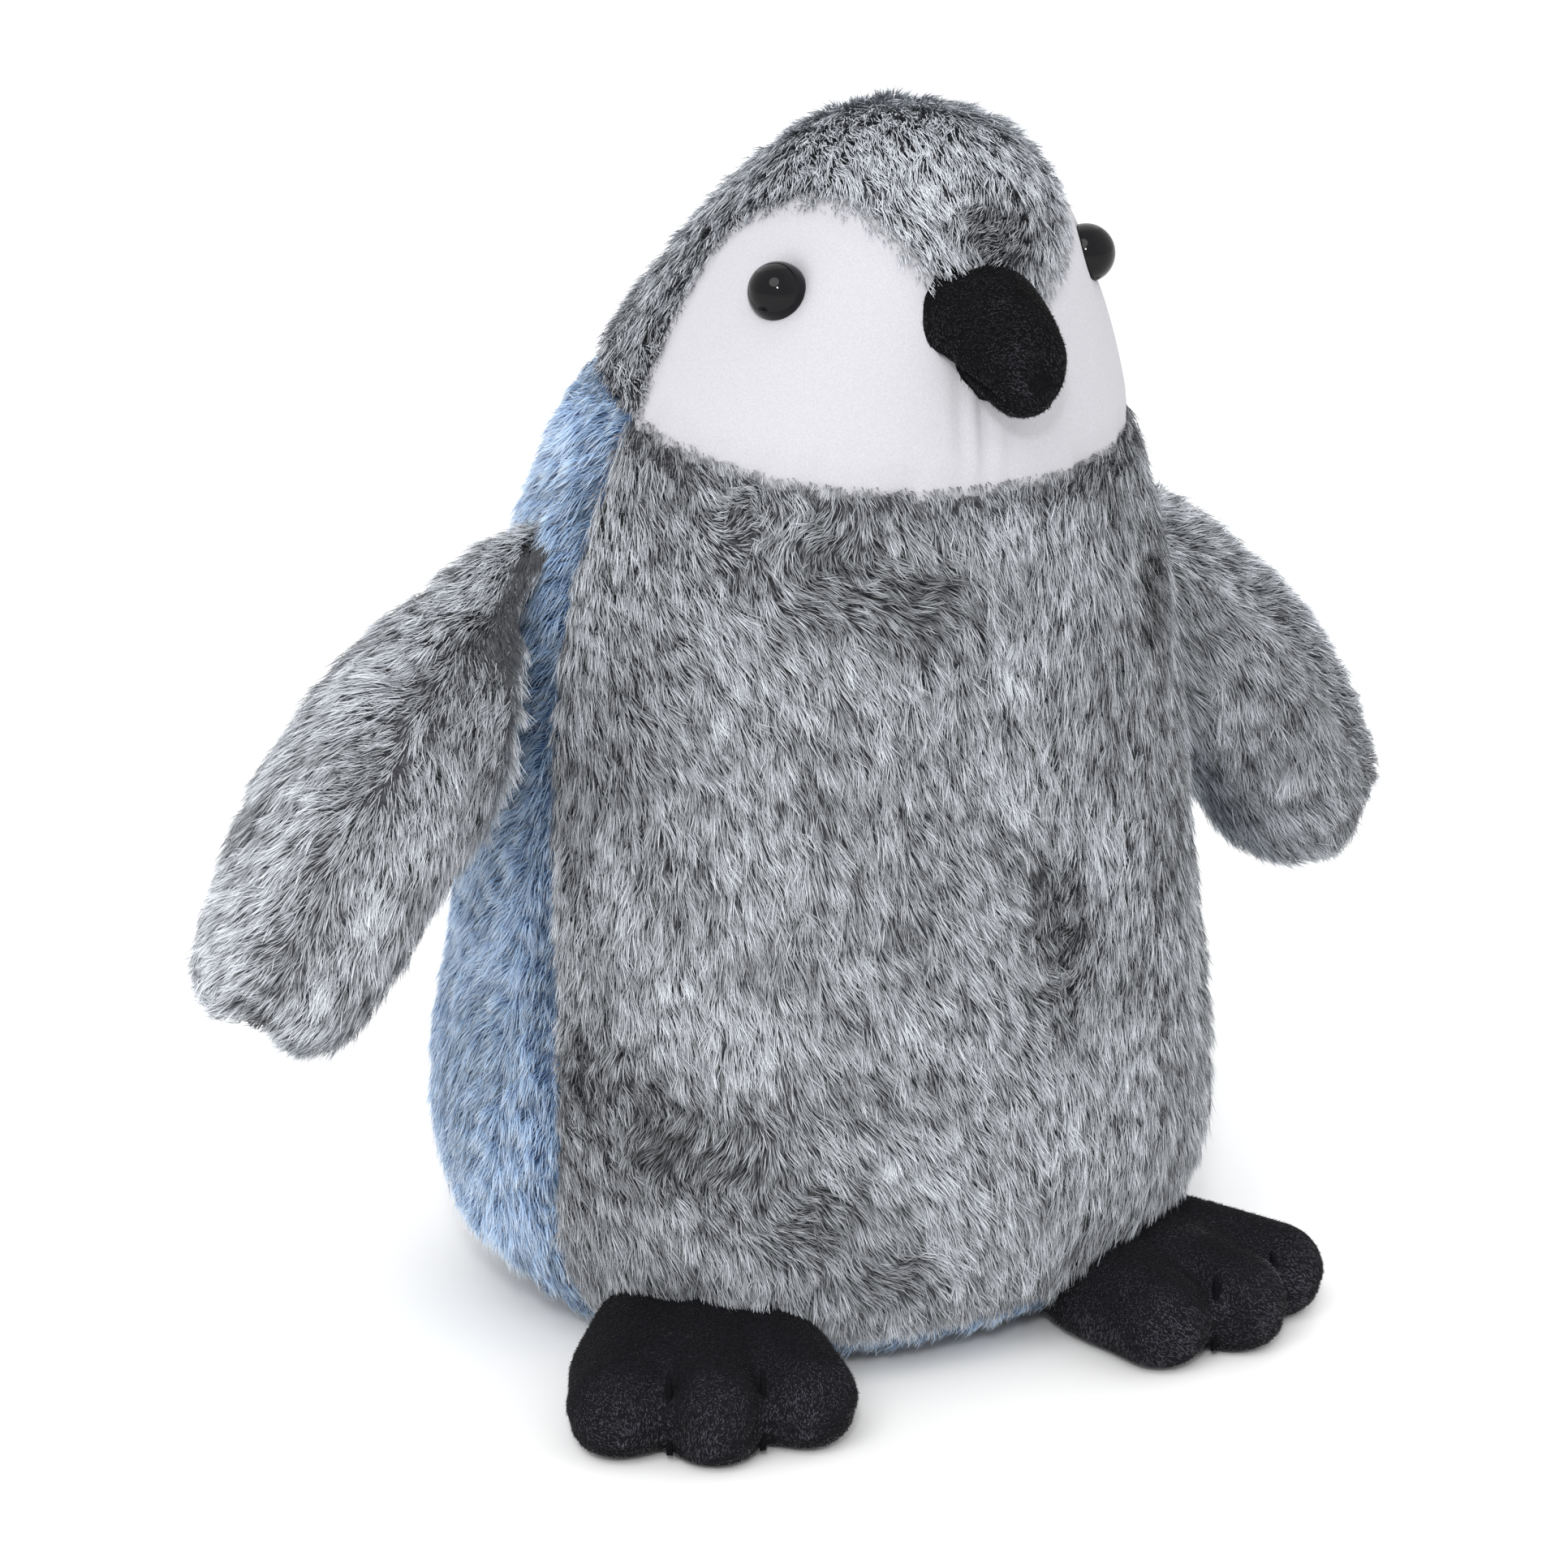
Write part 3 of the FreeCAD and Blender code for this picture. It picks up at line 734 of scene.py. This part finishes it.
def draw_back_root(rows, pivot, axis):
    """The front edge near the root is drawn back, so that the body's side shows before it."""
    forward = np.maximum(rows.mean(1, keepdims=True)[..., 1:2] - rows[..., 1:2], 0.0)
    from_root = ((rows - pivot) @ axis / MM)[..., None]
    innermost = smooth((6.0 - np.arange(len(rows))) / 6.0)[:, None, None]
    near_root = smooth((ROOT_REACH - from_root) / ROOT_REACH)
    rows[..., 1:2] += (ROOT_PULL_BACK * near_root + INNERMOST_PULL_BACK * innermost) * forward


def dress_wing(side):
    """One wing: a padded backing with a seam valley, and the pile of its two panels."""
    names, rows, owners, pivot, axis, surface = wing_grid(side)
    rows = relaxed(rows, 2)
    draw_back_root(rows, pivot, axis)
    normals = grid_normals(relaxed(rows, 3))
    if ((rows[20] - rows[20].mean(0)) * normals[20]).sum() < 0:
        normals = -normals
    edge = rows.reshape(-1, 3)[(owners != np.roll(owners, 1, 1)).ravel()]
    valley = nearest(rows.reshape(-1, 3), edge)[0].reshape(rows.shape[:2])
    fading = smooth((1.0 - np.arange(len(rows)) / len(rows))[:, None] / 0.35)
    groove = np.exp(-(valley / (VALLEY_WIDTH * MM)) ** 2) * fading
    rows = rows - normals * (VALLEY_DEPTH * MM * groove)[..., None]
    rows = rows.mean(1, keepdims=True) * WING_SLIMMING + rows * (1.0 - WING_SLIMMING)
    body = "wing_%s" % side
    tuck = ROOT_TUCK * smooth((12 - np.arange(len(rows))) / 12.0)[:, None, None]
    cloth = rows - normals * SKIN_DEPTH * MM
    cloth = cloth + (cloth.mean(1, keepdims=True) - cloth) * tuck
    skin = closed_star(body + "_backing", cloth)
    skin.data.materials.append(GREY_BACKING)
    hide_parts(*names, "wing_filling_" + side)
    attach(skin, body)
    points, places = scatter(rows, normals, FUR_PER_MM2)
    mine = surface.owners_near(points)
    for index, name in enumerate(names):
        chosen = mine == index
        p, n = points[chosen], places[chosen]
        seam, target = nearest(p, edge)
        comb = axis + unit(p - target) * (0.55 if index == 0 else 0.3)
        # Near the wing's root the pile stands up and is darkened by painted shade.
        stand = near_places(p, [(tuple((pivot + axis * 14 * MM) / MM + np.array([0, -14, 8])), 13)])
        fur("fur_" + name, body, GREY_FUR, p, n, comb, seam, WING_PULL, stand, WING_PILE,
            seed=71 + index * 7 + (side == "left") * 20, tone=WING_TONE_LIGHT_SHADE[side][index])


# ------------------------------------------------------------------ beak and feet

def star_grid(centre, forward, reach, rows, columns):
    """A closed grid about a centre; reach gives the surface's distance along a direction."""
    forward = unit(np.array(forward, float))
    up = unit(np.array([0.0, 0.0, 1.0]) - forward * forward[2])
    side = np.cross(forward, up)
    around = np.linspace(0, 2 * math.pi, columns, endpoint=False)
    grid = np.zeros((rows, columns, 3))
    for i, tilt in enumerate(np.linspace(math.pi - 0.02, 0.02, rows)):
        for j, angle in enumerate(around):
            out = forward * math.cos(tilt) + (side * math.cos(angle) + up * math.sin(angle)) * math.sin(tilt)
            grid[i, j] = centre + out * reach(out)
    return grid


def outward(grid, centre):
    """Normals of a grid that point away from its centre."""
    normals = grid_normals(grid)
    if ((grid - centre) * normals).sum() < 0:
        normals = -normals
    return normals


def closed_star(name, grid):
    """A closed mesh of a grid with a point added at each end."""
    rows, columns = grid.shape[:2]
    verts = np.concatenate([grid.reshape(-1, 3), [grid[0].mean(0), grid[-1].mean(0)]])
    quads = grid_quads(rows, columns)
    column = np.arange(columns)
    nxt = (column + 1) % columns
    first, last = rows * columns, rows * columns + 1
    low = np.stack([nxt, column, np.full(columns, first)], -1)
    high = np.stack([(rows - 1) * columns + column, (rows - 1) * columns + nxt, np.full(columns, last)], -1)
    halves = np.concatenate([quads[:, [0, 1, 2]], quads[:, [0, 2, 3]], low, high])
    return new_mesh(name, verts, halves)


def dress_beak():
    """A stubby hooked beak whose upper half overlaps the lower one."""
    box = np.array(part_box("beak_top"))
    middle_x = box[:, 0].mean() - BEAK_SIDE_STEP * MM
    tip_y = box[0, 1] + BEAK_TIP_BACK * MM
    floor_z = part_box("beak_under")[0].z
    rows, columns = BEAK_GRID
    behind, width, top, bottom = (np.array(column, float) for column in zip(*BEAK_ROWS))
    progress = np.linspace(0, 1, rows)
    place = np.interp(progress ** 0.8, np.linspace(0, 1, len(behind)), np.arange(len(behind)))
    known = np.arange(len(behind))
    around = np.linspace(0, 2 * math.pi, columns, endpoint=False)
    grid = np.zeros((rows, columns, 3))
    for i, at in enumerate(place):
        half, high, low, back = (np.interp(at, known, v) for v in (width, top, bottom, behind))
        centre = low + (high - low) * 0.56
        up = np.sin(around)
        rise = np.where(up > 0, (high - centre) * up, (centre - low) * up)
        narrow = 1.0 - 0.1 * np.clip(-up, 0, 1) ** 1.5 * min(1.0, back / 15.0)
        grid[i, :, 0] = middle_x - half * np.cos(around) * narrow * MM
        grid[i, :, 1] = tip_y + back * MM
        grid[i, :, 2] = floor_z + (centre + rise) * MM
    grid = relaxed(grid, 3)
    centre = grid.reshape(-1, 3).mean(0)
    normals = outward(grid, centre)
    from_tip = (grid[..., 1] - tip_y) / MM
    mouth = floor_z + (MOUTH_LOW + MOUTH_SLOPE * from_tip) * MM
    over = (grid[..., 2] - mouth) / MM
    step = MOUTH_STEP * smooth(0.5 - over) * smooth((from_tip - 5.0) / 10.0)
    groove = MOUTH_GROOVE * np.exp(-(over / 1.2) ** 2) * smooth((from_tip - 1.0) / 6.0)
    fold = BEAK_FOLD * np.exp(-((from_tip - 17 - over * 0.5) / 2.2) ** 2) * (over < 0)
    grid = grid - normals * ((step + groove + fold) * MM)[..., None]
    beak = closed_star("beak", grid)
    beak.data.materials.append(BEAK_CLOTH_SHADED)
    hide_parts("beak_top", "beak_under", "beak_filling")
    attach(beak, "root")
    normals = outward(grid, centre)
    points, places = scatter(grid, normals, PLUSH_PER_MM2)
    comb = np.tile([0.0, -0.8, -0.6], (len(points), 1))
    # The beak's pile is made darker than the feet's: painted shade.
    plush("beak_pile", "root", BLACK_PILE, points, places, comb, seed=201, tone_light_shade=-0.3)


def soft_min(values, blend):
    """Smallest of some distances, rounded where they cross."""
    values = np.array(values)
    return -blend * np.log(np.exp(-values / blend).sum(0))


def foot_shape(p):
    """Distance in millimetres from a foot's surface; x is sideways, y forward and z up."""
    parts = []
    for sideways, end, radius in TOES:
        a = np.array([sideways, end - radius, 10.2])
        b = np.array([sideways * 0.55, 4.0, 11.5])
        t = np.clip(((p - a) @ (b - a)) / ((b - a) @ (b - a)), 0, 1)
        parts.append(np.linalg.norm(p - a - (b - a) * t[..., None], axis=-1) - radius - 0.8 * t)
    dome = (p - np.array([0.0, 20.0, 8.5])) / np.array([29.0, 26.0, 13.0])
    parts.append((np.linalg.norm(dome, axis=-1) - 1) * 13.0)
    return soft_min(parts, TOE_BLEND)


def dress_foot(side):
    """One foot: a padded form with three toes, and its short pile."""
    joint = JOINTS["foot_%s_fold" % side]
    pivot = np.array(joint["pos_m"])
    axis = unit(np.array(joint["axis"]))
    forward = np.array([-axis[1], axis[0], 0.0])
    verts, _, _ = node_arrays(["foot_%s_top" % side])
    if ((verts.mean(0) - pivot) @ forward) < 0:
        forward = -forward
    sideways = np.cross(forward, [0.0, 0.0, 1.0])
    span = ((verts - pivot) @ forward).max()
    origin = pivot + forward * (span - FOOT_LENGTH * MM)
    origin[2] = 0.0
    turn = np.stack([sideways, forward, [0.0, 0.0, 1.0]])
    middle = np.array(FOOT_MIDDLE)
    centre = origin + middle @ turn * MM

    def reach(out):
        local = turn @ out
        far = np.linspace(2, 60, 291)
        place = middle + local * far[:, None]
        inside = foot_shape(place) < 0
        inside &= place[:, 2] > FOOT_FLOOR
        return far[np.nonzero(inside)[0].max()] * MM

    grid = relaxed(star_grid(centre, forward, reach, 80, 120), 2)
    grid[..., 2] = np.maximum(grid[..., 2], FOOT_FLOOR * MM)
    normals = outward(grid, centre)
    local = (grid - origin) @ turn.T / MM
    crease = np.exp(-((np.abs(local[..., 0]) - 9.6) / 2.6) ** 2) * smooth((local[..., 1] - 30) / 14)
    crease = crease * (local[..., 2] > 3)
    dimple = np.exp(-((np.abs(local[..., 0]) - 10.0) / 3.0) ** 2 - ((local[..., 2] - 9) / 4.0) ** 2)
    dimple = dimple * (local[..., 1] > 40)
    rim = np.exp(-((local[..., 2] - 7.5) / 1.3) ** 2)
    grid = grid - normals * ((TOE_CREASE * crease + TOE_DIMPLE * dimple + SOLE_RIM * rim) * MM)[..., None]
    foot = closed_star("foot_%s_plush" % side, grid)
    foot.data.materials.append(BLACK_CLOTH)
    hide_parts("foot_%s_top" % side, "foot_%s_sole" % side, "foot_filling_" + side)
    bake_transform(foot)
    normals = outward(grid, centre)
    keep = (grid[..., 2] > 1.2 * MM).astype(float)
    points, places = scatter(grid, normals, PLUSH_PER_MM2, keep)
    comb = np.tile(forward, (len(points), 1)) + np.array([0, 0, -0.3])
    # The feet's pile is made paler than the beak's: painted light on the upward-facing feet.
    for piece in plush("foot_%s_pile" % side, None, BLACK_PILE, points, places, comb,
                       seed=211 + (side == "left") * 10, tone_light_shade=0.34):
        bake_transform(piece)


# ------------------------------------------------------------------ small parts

def paint(material, *names):
    """CAD nodes whose shape is right keep it and take a material."""
    for name in names:
        mesh = NODES[name].data
        mesh.materials.clear()
        mesh.materials.append(material)
        for polygon in mesh.polygons:
            polygon.material_index = 0


# ------------------------------------------------------------------ studio

def studio():
    """A white floor under a white sky, three soft suns, and a disk that glints in the eyes."""
    scene = bpy.context.scene
    scene.view_settings.view_transform = "Standard"
    world = bpy.data.worlds.new("studio")
    world.use_nodes = True
    world.node_tree.nodes["Background"].inputs["Color"].default_value = (1, 1, 1, 1)
    world.node_tree.nodes["Background"].inputs["Strength"].default_value = WORLD_STRENGTH
    scene.world = world
    far = FLOOR_REACH
    corners = [(-far, -far, 0), (far, -far, 0), (far, far, 0), (-far, far, 0)]
    floor = new_mesh("floor", corners, [(0, 1, 2, 3)])
    material, _, shader = new_material("pale_floor")
    shader.inputs["Base Color"].default_value = (0.98, 0.98, 0.98, 1)
    shader.inputs["Roughness"].default_value = 0.9
    floor.data.materials.append(material)
    for name, place, spread, strength in SUNS:
        light = bpy.data.lights.new(name, "SUN")
        light.angle = math.radians(spread)
        light.energy = strength
        lamp = bpy.data.objects.new(name, light)
        lamp.location = place
        lamp.rotation_euler = (-lamp.location).to_track_quat("-Z", "Y").to_euler()
        scene.collection.objects.link(lamp)
    glint = bpy.data.lights.new("glint", "AREA")
    glint.shape = "DISK"
    glint.size = 0.13
    glint.energy = 5.0
    lamp = bpy.data.objects.new("glint", glint)
    lamp.location = (-0.75, -1.0, 0.85)
    lamp.rotation_euler = (Vector((0, -0.05, 0.24)) - lamp.location).to_track_quat("-Z", "Y").to_euler()
    scene.collection.objects.link(lamp)


def camera():
    """The toy from its right front and a little above."""
    aim = Vector(CAMERA_AIM) * MM
    azimuth, elevation = math.radians(CAMERA_AZIMUTH), math.radians(CAMERA_ELEVATION)
    away = Vector((math.sin(azimuth) * math.cos(elevation), -math.cos(azimuth) * math.cos(elevation),
                   math.sin(elevation)))
    data = bpy.data.cameras.new("camera")
    data.lens = 105.0
    data.sensor_width = 36.0
    eye = bpy.data.objects.new("camera", data)
    eye.location = aim + away * CAMERA_DISTANCE
    eye.rotation_euler = (-away).to_track_quat("-Z", "Y").to_euler()
    bpy.context.scene.collection.objects.link(eye)
    bpy.context.scene.camera = eye


body = Body()
dress_body(body)
for side in ("right", "left"):
    dress_wing(side)
    dress_foot(side)
dress_beak()
paint(EYE, "eye_right", "eye_left")
paint(THREAD, "toe_stitches_right", "toe_stitches_left")
paint(BLUE_THREAD, "closing_stitches")
paint(HIDDEN, "fibre_filling", "pellet_bag", "pellet_fill", "eye_washer_right", "eye_washer_left")
studio()
camera()
